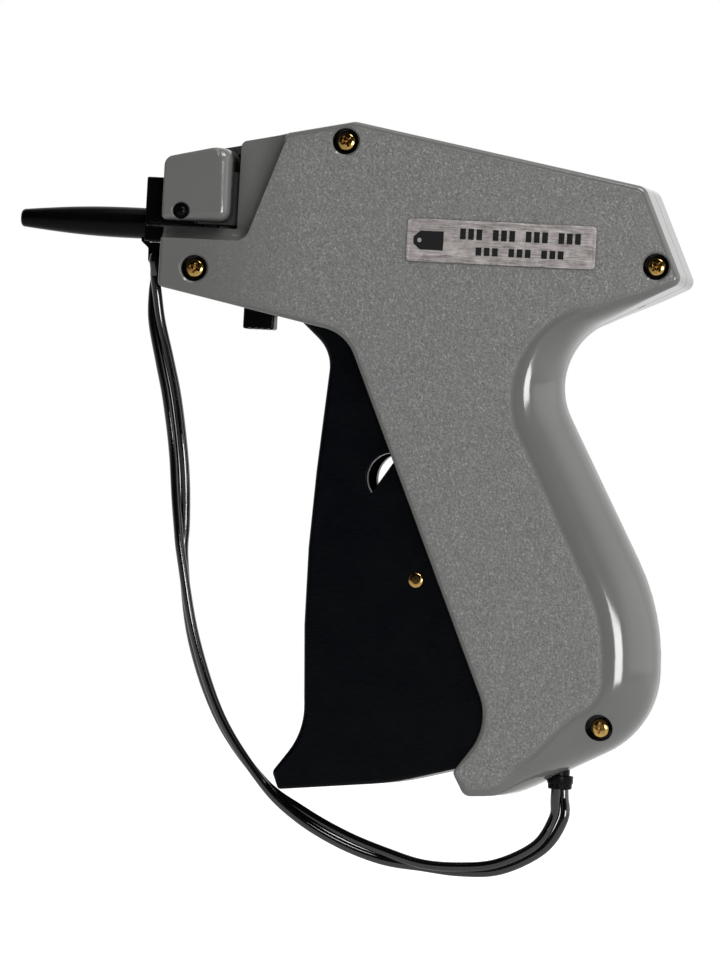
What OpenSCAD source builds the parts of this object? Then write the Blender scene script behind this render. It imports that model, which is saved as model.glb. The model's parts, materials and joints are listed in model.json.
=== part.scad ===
// Tag attaching gun. The origin is on the needle's axis at the front of the nose, in the
// parting plane of the two shells. The needle points along -X, the shells part on Y = 0, +Z is up.

/* [Housing] */
// Overall thickness of the two shells together
body_t = 24; // [22:0.5:28]
// Wall thickness of the shells
wall = 2; // [1.6:0.1:2.2]
// Radius of the rounded back of the grip
grip_round = 11; // [8:0.5:11]
// Diameter of the screw heads' counterbores
counterbore_d = 6.1; // [5.8:0.1:6.6]
// Diameter of the housing screws
screw_d = 3; // [2.6:0.1:3.2]

/* [Needle and plunger] */
// Length of needle that stands out of the nose
needle_reach = 27; // [22:0.5:28]
// Outer diameter of the needle
needle_d = 3; // [2.8:0.1:3.2]
// Diameter of the plunger rod
rod_d = 1.8; // [1.4:0.1:1.8]
// Overall length of the needle cap
cap_len = 28.7; // [28:0.1:30]

/* [Trigger and lever] */
// Thickness of the trigger
trigger_t = 18; // [16:0.5:18]
// Swing of the trigger in degrees
trigger_swing = 15.5; // [12:0.5:15.5]
// Diameter of the brass pin that drives the lever
trigger_pin_d = 3.5; // [3:0.1:3.6]
// Centre distance from the lever's fulcrum to its drive pin
lever_reach = 54; // [53:0.5:54]

/* [Cap cord] */
// Thickness of one strand of the cord
cord_d = 2.3; // [1.8:0.1:2.3]

/* [Hidden] */
half_t = body_t / 2;
run = 0.05; // radial running clearance of a shaft in its hole
gap = 0.3; // free space beside a moving part
bolt_boss_d = 7.2;
near_face = 0.25; // height of the label above the shell

// Each corner of the side view: x, z, corner radius, radius of the shell's side edge there.
outline_corners = [
    [1.9, -14.4, 1.6, 0.8],
    [46.9, -23.3, 10, 1.6],
    [84.6, -109, 14, 1.6],
    [76.9, -122.9, 1.2, 0.6],
    [80, -128.2, 2.5, 1.6],
    [90, -127.6, 25, 6],
    [122.9, -111, 30, grip_round],
    [122.9, -84, 30, grip_round],
    [90.2, -24.8, 16.2, grip_round],
    [124.9, -7.2, 2.2, 1.4],
    [113, 14.4, 3, 1.8],
    [46.3, 25.9, 4, 1.8],
    [2.1, 16.3, 2.2, 1.2],
];

screw_places = [[44.3, 21], [10.3, -9.9], [118.1, -4.5], [110.5, -110.7]];
// Depth of each counterbore's floor below the flat side of the left shell
screw_depths = [2.6, 2.6, 2.6, 4.2];

// Pivots in the side view
trigger_pivot = [49.5, -14];
trigger_pin_at = [65.9, -79.2];
fulcrum = [76, -58.5];

function unit(v) = v / norm(v);
function turned(v, a) = [v.x * cos(a) - v.y * sin(a), v.x * sin(a) + v.y * cos(a)];
function left_of(v) = [-v.y, v.x];
function flat(lists) = [for (l = lists) for (p = l) p];
function at_corner(v, i) = v[(i + len(v)) % len(v)];
function xz(c) = [c[0], c[1]];
function around(middle, span) = [middle + span[0], middle + span[1]];

// Points and inward normals along one rounded corner of a counter-clockwise outline
function corner_arc(before, at, after, r) =
    let (
        into = unit(at - before),
        out = unit(after - at),
        bend = atan2(into.x * out.y - into.y * out.x, into * out),
        side = sign(bend),
        start = at - into * r * tan(abs(bend) / 2),
        centre = start + left_of(into) * side * r,
        steps = max(2, ceil(abs(bend) / (r > 8 ? 7 : 24)))
    )
    [for (i = [0 : steps]) let (n = turned(left_of(into), bend * i / steps)) [centre - n * side * r, n]];

// Every corner rounded: a list of [point, inward normal, side edge radius]
function rounded(corners) = flat([
    for (i = [0 : len(corners) - 1])
        let (c = corners[i])
            [for (p = corner_arc(xz(at_corner(corners, i - 1)), xz(c), xz(at_corner(corners, i + 1)), c[2]))
                [p[0], p[1], len(c) > 3 ? c[3] : 0]]
]);

// The same corners moved inwards by d, with their radii changed to suit
function shrunk(corners, d) = [
    for (i = [0 : len(corners) - 1])
        let (
            c = corners[i],
            n1 = left_of(unit(xz(c) - xz(at_corner(corners, i - 1)))),
            n2 = left_of(unit(xz(at_corner(corners, i + 1)) - xz(c))),
            convex = n1.x * n2.y - n1.y * n2.x > 0,
            p = xz(c) + d * (n1 + n2) / (1 + n1 * n2)
        )
        [p.x, p.y, convex ? max(c[2] - d, 0.5) : c[2] + d, max((len(c) > 3 ? c[3] : 0) - d, 0)]
];

// How far the side edge has turned in at height y of a half that is depth deep
function edge_inset(r, y, depth) = y <= depth - r ? 0 : r - sqrt(max(0, r * r - pow(y - depth + r, 2)));

// The outline at height y: each point moves in along its normal
function ring(points, y, depth, more = 0) =
    [for (p = points) p[0] + p[1] * (edge_inset(p[2], y, depth) + more)];

outline = rounded(outline_corners);
cavity = rounded(shrunk(outline_corners, wall));

// A side-view shape made solid from y0 to y1
module slab(y0, y1) {
    rotate([90, 0, 0]) translate([0, 0, -y1]) linear_extrude(y1 - y0) children();
}

// A round bar across the gun at a side-view place
module cross_bar(at, d, y0, y1) {
    translate([at.x, y0, at.y]) rotate([-90, 0, 0]) cylinder(h = y1 - y0, d = d, $fn = 48);
}

// A round bar along X at [y, z]
module long_bar(at, d, x0, x1) {
    translate([x0, at.x, at.y]) rotate([0, 90, 0]) cylinder(h = x1 - x0, d = d, $fn = 48);
}

module box(x, y, z) {
    translate([x[0], y[0], z[0]]) cube([x[1] - x[0], y[1] - y[0], z[1] - z[0]]);
}

// Heights at which the rounded side edge steps in
edge_levels = [0, 0.34, 0.54, 0.7, 0.82, 0.91, 0.97, 1] * half_t;

// A side-view shape from y0 to y1, kept inside the rounded outline of a half
module inside_half(y0, y1) {
    for (i = [1 : len(edge_levels) - 1])
        if (edge_levels[i] > y0 && edge_levels[i - 1] < y1)
            slab(max(edge_levels[i - 1], y0), min(edge_levels[i], y1)) intersection() {
                polygon(ring(outline, min(edge_levels[i], y1), half_t));
                children();
            }
}

// One solid half of the gun, Y = 0 to half_t, with its side edge rounded in steps
module solid_half() {
    for (i = [1 : len(edge_levels) - 1])
        slab(edge_levels[i - 1], edge_levels[i]) polygon(ring(outline, edge_levels[i], half_t));
}

// The hollow inside a half, stepped to follow the rounded grip
module hollow_half() {
    depth = half_t - wall;
    steps = [0, 0.4, 0.7, 0.92, 1] * depth;
    for (i = [1 : len(steps) - 1])
        slab(i == 1 ? -1 : steps[i - 1] - 0.01, steps[i]) polygon(ring(cavity, steps[i], depth));
}

// Where the trigger enters the grip, cut from both halves
mouth_half = half_t - 2.3;
module trigger_mouth() {
    slab(-1, mouth_half) {
        polygon([[34.4, -10], [34.4, -40], [70, -140], [75, -112], [86, -106], [56, -33], [58, -10]]);
        intersection() {
            translate(trigger_pivot) circle(r = 114, $fn = 180);
            translate([68, -126]) square([22, 22]);
        }
    }
}

module release_slot() {
    box([20.9, 28.7], [-1, 2.8], [-30, -12]);
}

// Posts for the housing screws
module screw_posts() {
    inside_half(0, half_t - 0.5) for (at = screw_places) translate(at) circle(d = bolt_boss_d, $fn = 48);
}

// Cheek that carries the trigger's pivot pin
module pivot_cheek() {
    difference() {
        cross_bar(trigger_pivot, 9, trigger_t / 2 + 0.1, half_t - wall + 0.1);
        cross_bar(trigger_pivot, pivot_pin_d, 0, half_t - 1);
    }
}

// A finished half before its own cuts, Y = 0 to half_t
module plain_half() {
    difference() {
        union() {
            difference() {
                solid_half();
                hollow_half();
            }
            screw_posts();
            rod_post();
        }
        trigger_mouth();
        release_slot();
        long_bar([0, guide_z], guide_d, guide_x[0], guide_x[1]);
        box(strip_x, [-1, 1.2], [10, 30]);
        box([-6, 4.5], [-1, holder_half + 0.1], [-4.6, 10.1]);
        cross_bar(trigger_pivot, pivot_pin_d, 0, half_t - 1);
    }
    pivot_cheek();
}

// Nose pocket: the recess that carries the feed cover and the tag slots
pocket_floor = 8.5;
pocket_corners = [[-5, -3.5, 0.5], [21.8, -3.5, 3], [32.6, 27, 0.5], [-5, 27, 0.5]];
slot_x = [19.1, 20.9];
slot_z = [-1.3, 0.2];
// Room for the strip of tags, which hangs in the parting plane
strip_x = [12.1, slot_x[1]];

module pocket_shape(grow = 0) {
    polygon([for (p = rounded(shrunk(pocket_corners, -grow))) p[0]]);
}

module pocket_floor_plate() {
    inside_half(holder_half + 0.2, half_t - 1) pocket_shape(wall);
}

module left_housing() {
    color([0.42, 0.42, 0.42]) mirror([0, 1, 0]) difference() {
        union() {
            plain_half();
            pocket_floor_plate();
        }
        slab(pocket_floor, half_t + 1) pocket_shape();
        box([-6, slot_x[1]], [-1, half_t], [slot_z[0], 30]);
        for (i = [0 : 3]) {
            cross_bar(screw_places[i], counterbore_d, half_t - screw_depths[i], half_t + 1);
            cross_bar(screw_places[i], screw_d + 0.4, -1, half_t);
        }
        cross_bar(cover_pin_at, cover_pin_d, 0, half_t);
        cord_hole();
    }
}

module right_housing() {
    color([0.42, 0.42, 0.42]) difference() {
        union() {
            plain_half();
            bracket_post();
        }
        for (at = screw_places) cross_bar(at, screw_d, -1, half_t - wall);
        cord_hole();
        long_bar(bracket_screw_yz, screw_d, 90, bracket_x[1] + 6);
    }
}

// Aluminium foil plate on the left side
module label_plate() {
    color([0.62, 0.6, 0.6]) slab(-half_t - near_face, -half_t)
        polygon([for (p = rounded([[59.9, -5.9, 0.6], [104, -5.9, 0.6], [104, 4, 0.6], [59.9, 4, 0.6]])) p[0]]);
}

module housing_screws() {
    head_h = 1.9;
    color([0.72, 0.52, 0.22]) for (i = [0 : 3]) {
        seat = -half_t + screw_depths[i];
        difference() {
            union() {
                cross_bar(screw_places[i], 5.2, seat - head_h, seat);
                cross_bar(screw_places[i], screw_d, seat - 0.01, half_t - wall - 0.5);
            }
            for (a = [0, 90])
                translate([screw_places[i].x, seat - head_h, screw_places[i].y])
                    rotate([0, a + 20, 0]) cube([2.8, 1.8, 0.7], center = true);
        }
    }
}

// Feed cover over the tag strip, and its black pin
cover_pin_at = [6.5, 3.2];
cover_pin_d = 3;
cover_corners = [[2.3, 0.4, 1.6], [18.8, 0.4, 1.6], [18.2, 18.9, 2.4], [2.3, 15.5, 1.8]];

module feed_cover() {
    color([0.4, 0.4, 0.4]) difference() {
        slab(-half_t, 0) polygon([for (p = rounded(cover_corners)) p[0]]);
        box([-1, 20], [-holder_half - 0.1, 1], [-1, 13.1]);
        box(strip_x, [-1.2, 1], [10, 30]);
        cross_bar(cover_pin_at, cover_pin_d, -half_t - 1, 0);
    }
}

module feed_cover_pin() {
    color([0.05, 0.05, 0.05]) cross_bar(cover_pin_at, cover_pin_d, -half_t - 0.1, -holder_half - 0.3);
}

// Needle holder: the black block in the nose
holder_half = 6.3;
holder_x = [-4, 9.2];

module needle_holder() {
    color([0.05, 0.05, 0.05]) difference() {
        box(holder_x, [-holder_half, holder_half], [-4.5, 10]);
        long_bar([0, 0], needle_d, holder_x[0] - 1, holder_x[1] + 1);
        box([holder_x[0] - 1, holder_x[1] + 1], [-holder_half - 1, 0], [-0.5, 0.5]);
    }
}

module needle() {
    tip_len = 4;
    color([0.75, 0.76, 0.78]) difference() {
        union() {
            long_bar([0, 0], needle_d, tip_len - needle_reach, holder_x[1]);
            translate([-needle_reach, 0, 0]) rotate([0, 90, 0])
                cylinder(h = tip_len, r1 = rod_d / 2 + 0.25, r2 = needle_d / 2, $fn = 48);
        }
        long_bar([0, 0], rod_d + 2 * run, -needle_reach - 1, holder_x[1] + 1);
        box([-needle_reach - 1, holder_x[1] + 1], [-needle_d, 0], [-0.35, 0.35]);
    }
}

// Needle cap, with the eye that its cord is tied to
cap_tip = holder_x[0] - cap_len - 0.1;
eye_at = [-1.8, -7.3];

module needle_cap() {
    base = holder_x[0] - 0.1;
    color([0.03, 0.03, 0.03]) difference() {
        union() {
            translate([base, 0, 0]) rotate([0, -90, 0]) rotate_extrude($fn = 64)
                polygon([[0, 0], [3.6, 0], [3.5, 8], [2.9, 20], [2.25, cap_len - 0.8], [1.7, cap_len], [0, cap_len]]);
            slab(-1.6, 1.6) {
                translate(eye_at) circle(d = 4.8, $fn = 48);
                polygon([[base - 2.4, -1], [base - 2.4, -5], eye_at - [1.6, 1.7], eye_at + [0, 2.4], [base, -4.8],
                    [base, -1]]);
            }
        }
        long_bar([0, 0], needle_d + 0.3, -needle_reach - 1.5, base + 1);
        cross_bar(eye_at, 2.6, -3, 3);
    }
}

// Cord from the cap to the foot of the grip: two strands side by side
cord_path = [
    [-0.9, -10.2], [0.4, -21], [5.4, -40.7], [8, -59], [9.5, -77.3], [13.3, -95.6], [20.7, -113.6],
    [31.3, -127.6], [49.8, -139.3], [68.8, -144.5], [87.4, -143.8], [96.5, -138.9], [100.9, -132], [100.6, -125.9]
];
cord_spacing = cord_d + 0.25;
ferrule_at = [100.6, -123.3];

// A smooth curve through the points, cut into steps pieces per span
function through(points, steps) = flat([
    for (i = [0 : len(points) - 2])
        let (
            p0 = points[max(i - 1, 0)], p1 = points[i],
            p2 = points[i + 1], p3 = points[min(i + 2, len(points) - 1)]
        )
        [for (s = [0 : steps - (i == len(points) - 2 ? 0 : 1)])
            let (t = s / steps)
                0.5 * (2 * p1 + (p2 - p0) * t + (2 * p0 - 5 * p1 + 4 * p2 - p3) * t * t
                    + (3 * p1 - p0 - 3 * p2 + p3) * t * t * t)]
]);

// A round strand along a side-view path, at height y
module strand(path, y, d) {
    sides = 8;
    n = len(path);
    points = flat([
        for (i = [0 : n - 1])
            let (across = left_of(unit(path[min(i + 1, n - 1)] - path[max(i - 1, 0)])))
                [for (a = [0 : 360 / sides : 359])
                    [path[i].x + across.x * cos(a) * d / 2, y + sin(a) * d / 2,
                        path[i].y + across.y * cos(a) * d / 2]]
    ]);
    sleeve = [for (i = [0 : n - 2]) for (j = [0 : sides - 1])
        let (k = (j + 1) % sides)
            [i * sides + j, i * sides + k, (i + 1) * sides + k, (i + 1) * sides + j]];
    ends = [[for (j = [0 : sides - 1]) sides - 1 - j], [for (j = [0 : sides - 1]) (n - 1) * sides + j]];
    polyhedron(points = points, faces = concat(sleeve, ends));
}

module cap_cord() {
    color([0.04, 0.04, 0.04]) for (y = [-1, 1] * cord_spacing / 2) strand(through(cord_path, 4), y, cord_d);
}

module cord_hole() {
    translate([ferrule_at.x, 0, ferrule_at.y]) {
        cylinder(h = 7, d = 4.4, $fn = 48);
        translate([0, 0, -3]) cylinder(h = 3.3, d = 6.2, $fn = 48);
    }
}

module cord_ferrule() {
    color([0.05, 0.05, 0.05]) translate([ferrule_at.x, 0, ferrule_at.y]) {
        translate([0, 0, -2.2]) cylinder(h = 2.4, d = 6, $fn = 48);
        cylinder(h = 4.6, d = 4.3, $fn = 48);
    }
}

// Trigger: a channel open towards the grip
pivot_pin_d = 4;
trigger_wall = 2.2;
trigger_corners = [
    [34.2, -12.5, 1.5], [34.9, -20.2, 3], [43.1, -27.6, 9], [39.2, -82, 350], [41.4, -115.2, 9],
    [34.1, -125, 1.6], [35.8, -129.1, 0.9], [62.8, -125, 20], [78.4, -121.8, 0.6], [87.3, -112, 4],
    [86.8, -100, 10], [58.4, -33, 10], [57, -8.2, 6], [41, -8.2, 6],
];
window_at = [58.9, -56];
window_r = 5.8;
// Lug on the trigger that moves the index bar
lug_half = 1;
lug_y = [7.5, 8.8];

module trigger_shape() {
    polygon([for (p = rounded(trigger_corners)) p[0]]);
}

module trigger() {
    inner = trigger_t / 2 - trigger_wall;
    color([0.02, 0.02, 0.03]) difference() {
        slab(-trigger_t / 2, trigger_t / 2) trigger_shape();
        slab(-inner, inner) translate([trigger_wall + 0.3, trigger_wall]) trigger_shape();
        slab(-trigger_t, trigger_t) intersection() {
            translate(window_at) circle(r = window_r, $fn = 64);
            translate(window_at + [-2, 0.2]) rotate(57) translate([-10, 0]) square([20, 10]);
        }
        cross_bar(trigger_pivot, pivot_pin_d + 2 * run, -trigger_t, trigger_t);
        cross_bar(trigger_pin_at, trigger_pin_d, -trigger_t, trigger_t);
    }
    color([0.02, 0.02, 0.03])
        box(around(trigger_pivot.x, [-lug_half, lug_half]), lug_y, [trigger_pivot.y + 5, trigger_pivot.y + 11.6]);
}

module trigger_pivot_pins() {
    color([0.7, 0.7, 0.72]) for (s = [0, 1]) mirror([0, s, 0])
        cross_bar(trigger_pivot, pivot_pin_d, trigger_t / 2 - trigger_wall, half_t - 1);
}

module trigger_pin() {
    color([0.78, 0.6, 0.3]) cross_bar(trigger_pin_at, trigger_pin_d, -trigger_t / 2 - 0.4, trigger_t / 2 + 0.4);
}

// Lever geometry: the trigger's pin turns the lever about its fulcrum through an equal angle each
// side of upright, and the lever's drive pin pushes the carriage along X.
function pin_when(t) = trigger_pivot + turned(trigger_pin_at - trigger_pivot, trigger_swing * t);
function lean(v) = atan2(v.x, -v.y);
lever_start = lean(pin_when(0) - fulcrum);
lever_end = lean(pin_when(1) - fulcrum);
lever_swing = lever_end - lever_start;
function lever_turned(t) = turned([-lever_reach * sin(lever_start), lever_reach * cos(lever_start)], lever_swing * t);
drive_pin_at = fulcrum + lever_turned(0);
stroke = drive_pin_at.x - (fulcrum + lever_turned(1)).x;
// The trigger pin's path seen from the lever, which shapes the lever's slot
slot_path = [for (i = [0 : 8]) fulcrum + turned(pin_when(i / 8) - fulcrum, -lever_swing * i / 8)];

lever_half = 2.4;
bushing_d = 7;
fulcrum_d = 4;
drive_pin_d = 3;

// A straight bar from a to b with round ends of radius r
module link(a, b, r) {
    side = left_of(unit(b - a)) * r;
    polygon([a + side, b + side, b - side, a - side]);
    for (p = [a, b]) translate(p) circle(r = r, $fn = 48);
}

module drive_lever() {
    slot_r = trigger_pin_d / 2 + gap / 2;
    arm = unit(drive_pin_at - fulcrum);
    across = left_of(arm);
    top = drive_pin_at + arm * 3.4;
    waist = fulcrum + arm * 26;
    neck = fulcrum + arm * 40;
    foot = slot_path[0] - arm * 5.8;
    corners = [
        for (c = [
            [top - across * 3, 2.8], [top + across * 3, 2.8], [waist + across * 2.6, 40],
            [fulcrum + across * 6.6, 12], [foot + across * 5.8, 5], [foot - across * 5.8, 5],
            [fulcrum - across * 6.6, 12], [waist - across * 1.8, 30], [neck - across * 1.4, 30]
        ]) [c[0].x, c[0].y, c[1]]
    ];
    color([0.55, 0.56, 0.58]) difference() {
        slab(-lever_half, lever_half) polygon([for (p = rounded(corners)) p[0]]);
        slab(-10, 10) hull() for (p = slot_path) translate(p) circle(r = slot_r, $fn = 32);
        cross_bar(fulcrum, bushing_d, -10, 10);
        cross_bar(drive_pin_at, drive_pin_d, -10, 10);
    }
}

module lever_bushing() {
    color([0.8, 0.62, 0.3]) difference() {
        cross_bar(fulcrum, bushing_d, -bracket_inner + 0.15, bracket_inner - 0.15);
        cross_bar(fulcrum, fulcrum_d + 2 * run, -10, 10);
    }
}

module lever_pin() {
    color([0.7, 0.7, 0.72]) cross_bar(fulcrum, fulcrum_d, -bracket_inner - 1.9, bracket_inner + 1.9);
}

module drive_pin() {
    color([0.7, 0.7, 0.72]) cross_bar(drive_pin_at, drive_pin_d, -cheek_y[1] - 0.3, cheek_y[1] + 0.3);
}

// Bracket that carries the fulcrum between the trigger's side walls
bracket_inner = 4.2;
bracket_t = 1.2;
bracket_x = [fulcrum.x - 5.5, 98];
bracket_screw_yz = [2, fulcrum.y + 1.5];

module lever_bracket() {
    outer = bracket_inner + bracket_t;
    color([0.6, 0.61, 0.63]) difference() {
        box(bracket_x, [-outer, outer], [fulcrum.y - 5.5, fulcrum.y + 7]);
        box([bracket_x[0] - 1, bracket_x[1] - bracket_t], [-bracket_inner, bracket_inner],
            [fulcrum.y - 9, fulcrum.y + 12]);
        cross_bar(fulcrum, fulcrum_d, -10, 10);
        long_bar(bracket_screw_yz, screw_d, 90, 120);
    }
}

module bracket_screw() {
    color([0.7, 0.7, 0.72]) {
        long_bar(bracket_screw_yz, screw_d, bracket_x[1] - bracket_t, bracket_x[1] + 6);
        long_bar(bracket_screw_yz, 4.2, bracket_x[1] - bracket_t - 1.6, bracket_x[1] - bracket_t);
    }
}

module bracket_post() {
    inside_half(0, half_t - wall) translate([bracket_x[1], fulcrum.y - 3]) square([30, 9]);
}

// Plunger: a carriage on a guide rod, with the thin rod that pushes the tag bar out
guide_z = 8;
guide_d = 3;
guide_x = [32, 115];
cheek_y = [3, 5.4];

module plunger_carriage() {
    slot_half = drive_pin_d / 2 + 0.5;
    top = -3;
    bottom = drive_pin_at.y - 3.1;
    color([0.12, 0.12, 0.13]) difference() {
        union() {
            box(around(drive_pin_at.x, [-7, 4.4]), [-6.5, 6.5], [top, guide_z + 4]);
            for (s = [0, 1]) mirror([0, s, 0])
                box(around(drive_pin_at.x, [-4.4, 3.4]), cheek_y, [bottom, top + 0.01]);
        }
        slab(-10, 10) link(drive_pin_at, [drive_pin_at.x, fulcrum.y + lever_reach], slot_half);
        long_bar([0, 0], rod_d, 0, drive_pin_at.x - 1);
        long_bar([0, guide_z], guide_d + 2 * run, 0, 130);
        box(around(drive_pin_at.x, [-4.6, 4.6]), [-lever_half - gap, lever_half + gap],
            [-20, fulcrum.y + lever_reach + 3.6]);
    }
}

module plunger_rod() {
    color([0.75, 0.76, 0.78]) long_bar([0, 0], rod_d, stroke - needle_reach + 2, drive_pin_at.x - 1);
}

module guide_rod() {
    color([0.75, 0.76, 0.78]) long_bar([0, guide_z], guide_d, guide_x[0], guide_x[1]);
}

module rod_post() {
    inside_half(0, half_t - wall) translate([guide_x[1] - 3, guide_z - 3.5]) square([20, 7]);
}

spring_x = [36.2, drive_pin_at.x - 7.2];

module return_spring() {
    turns = 13;
    pitch = (spring_x[1] - spring_x[0]) / turns;
    color([0.7, 0.71, 0.73]) difference() {
        union() {
            long_bar([0, guide_z], 4.6, spring_x[0], spring_x[1]);
            for (i = [0 : turns - 1]) long_bar([0, guide_z], 6, spring_x[0] + pitch * i, spring_x[0] + pitch * i + 1.2);
        }
        long_bar([0, guide_z], guide_d + 0.5, spring_x[0] - 1, spring_x[1] + 1);
    }
}

module carriage_bumper() {
    x0 = drive_pin_at.x + 4.6;
    color([0.1, 0.1, 0.1]) difference() {
        long_bar([0, guide_z], 8, x0, x0 + 4);
        long_bar([0, guide_z], guide_d, x0 - 1, x0 + 5);
    }
}

// Feed guide: the block that holds the tag strip behind the needle
guide_block_x = [9.4, 36];
wheel_at = [5.2, 3.4]; // y, z of the wheel's axis
wheel_r = 4;
wheel_x = [12.8, 16.4];
teeth = 8;
wheel_axle_d = 2;

module feed_guide() {
    color([0.1, 0.1, 0.11]) difference() {
        box(guide_block_x, [-holder_half + 0.1, half_t - wall - 0.1], [-3.9, 13]);
        long_bar([0, 0], rod_d + 2 * run, 0, 40);
        box([strip_x[0] - 1, strip_x[1]], [-0.9, 0.9], [-1, 20]);
        box(slot_x, [-10, 0], [-1, 20]);
        box([0, slot_x[1]], [-10, 0], [-0.9, 0.6]);
        box([wheel_x[0] - 0.3, wheel_x[1] + 0.3], [0.5, 20], [-10, wheel_at.y + wheel_r + 0.4]);
        box([22.5, 34], [-10, 20], [3.4, 20]);
        long_bar(wheel_at, wheel_axle_d, 10.6, 18.6);
        long_bar([0, guide_z], guide_d, guide_x[0], 60);
        box([18.7, 30.5], [-10, 20], [-5, -1.6]);
        box([wheel_x[1] + 0.3, 40], [index_y[0] - 0.1, 20], [-10, 20]);
        long_bar(pawl_pivot, pawl_hub_d + 0.4, wheel_x[1], 31);
    }
    color([0.1, 0.1, 0.11]) for (x = pawl_ears)
        difference() {
            box([x, x + 1.1], around(pawl_pivot.x, [-2, 1.2]), [pawl_pivot.y - 1.1, -3.8]);
            long_bar(pawl_pivot, pawl_pin_d, 0, 40);
        }
}

// Toothed wheel that draws the tag strip down, and its axle
module feed_wheel() {
    color([0.85, 0.85, 0.8]) translate([wheel_x[0], wheel_at.x, wheel_at.y]) rotate([0, 90, 0]) difference() {
        linear_extrude(wheel_x[1] - wheel_x[0])
            polygon([for (i = [0 : teeth - 1]) for (c = [[0, 1], [0.3, 1], [0.5, 0.68], [0.85, 0.68]])
                wheel_r * c[1] * [cos(360 * (i + c[0]) / teeth), sin(360 * (i + c[0]) / teeth)]]);
        translate([0, 0, -1]) cylinder(h = 10, d = wheel_axle_d + 2 * run, $fn = 48);
    }
}

module feed_wheel_axle() {
    color([0.7, 0.7, 0.72]) long_bar(wheel_at, wheel_axle_d, 10.6, 18.6);
}

// Holding pawl: a finger beside the wheel and a tail over the release button
pawl_pivot = [5.5, -5.2]; // y, z
pawl_pin_d = 2;
pawl_hub_d = 3.2;
pawl_ears = [11.4, 30.6];
button_x = [21.1, 28.4];
pawl_tail = [1, -6.2]; // y, z

module pawl_arm(x, to, width) {
    translate([x[0], 0, 0]) rotate([90, 0, 90]) linear_extrude(x[1] - x[0])
        link(pawl_pivot, to, width / 2);
}

module holding_pawl() {
    color([0.8, 0.8, 0.76]) difference() {
        union() {
            long_bar(pawl_pivot, pawl_hub_d, 12.8, 30.4);
            pawl_arm([13.2, 16], [7, -1.4], 1.8);
            pawl_arm(button_x, pawl_tail, 2);
        }
        long_bar(pawl_pivot, pawl_pin_d + 2 * run, 0, 40);
    }
}

module pawl_pin() {
    color([0.7, 0.7, 0.72]) long_bar(pawl_pivot, pawl_pin_d, pawl_ears[0], pawl_ears[1] + 1.1);
}

module pawl_spring() {
    foot = pawl_tail.y + 1.5;
    head = -1.65;
    turns = 4;
    at = [(button_x[0] + button_x[1]) / 2, pawl_tail.x];
    color([0.7, 0.71, 0.73]) translate([at.x, at.y, foot]) difference() {
        union() {
            cylinder(h = head - foot, d = 2.8, $fn = 32);
            for (i = [0 : turns - 1]) translate([0, 0, (head - foot) * i / turns]) cylinder(h = 0.5, d = 3.6, $fn = 32);
        }
        translate([0, 0, -1]) cylinder(h = 10, d = 2, $fn = 32);
    }
}

// Release button under the nose
module release_button() {
    color([0.03, 0.03, 0.03]) {
        box(button_x, [-2.5, 2.5], [-23, pawl_tail.y - 1.15]);
        box([button_x[0] - 1.4, button_x[1] + 1.4], [-2.5, 2.5], [-15.4, -14]);
    }
}

// Index bar: the trigger's lug pushes it forward to turn the feed wheel
index_y = [7.3, 9.8];

module index_bar() {
    z = around(trigger_pivot.y, [8.8, 13.4]);
    front = 20;
    color([0.75, 0.72, 0.6]) difference() {
        union() {
            box([front, trigger_pivot.x + 5], index_y, z);
            box([front, front + 2], index_y, [z[0], 1.5]);
        }
        box(around(trigger_pivot.x, [-lug_half - 0.8, lug_half + 0.8]), [0, 20], [-20, trigger_pivot.y + 12.1]);
    }
}

left_housing();
right_housing();
label_plate();
housing_screws();
feed_cover();
feed_cover_pin();
needle_holder();
needle();
needle_cap();
cap_cord();
cord_ferrule();
trigger();
trigger_pivot_pins();
trigger_pin();
drive_lever();
lever_bushing();
lever_pin();
drive_pin();
lever_bracket();
bracket_screw();
plunger_carriage();
plunger_rod();
guide_rod();
return_spring();
carriage_bumper();
feed_guide();
feed_wheel();
feed_wheel_axle();
holding_pawl();
pawl_pin();
pawl_spring();
release_button();
index_bar();
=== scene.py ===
"""Looks of the tag attaching gun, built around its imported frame.

Shapes are made in millimetres and scaled to metres when they are placed. The side view is X and Z,
the two shells meet on Y = 0, and the label side is -Y.
"""
import json
import math
from collections import namedtuple

import bmesh
import bpy
from mathutils import Matrix, Vector


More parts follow.
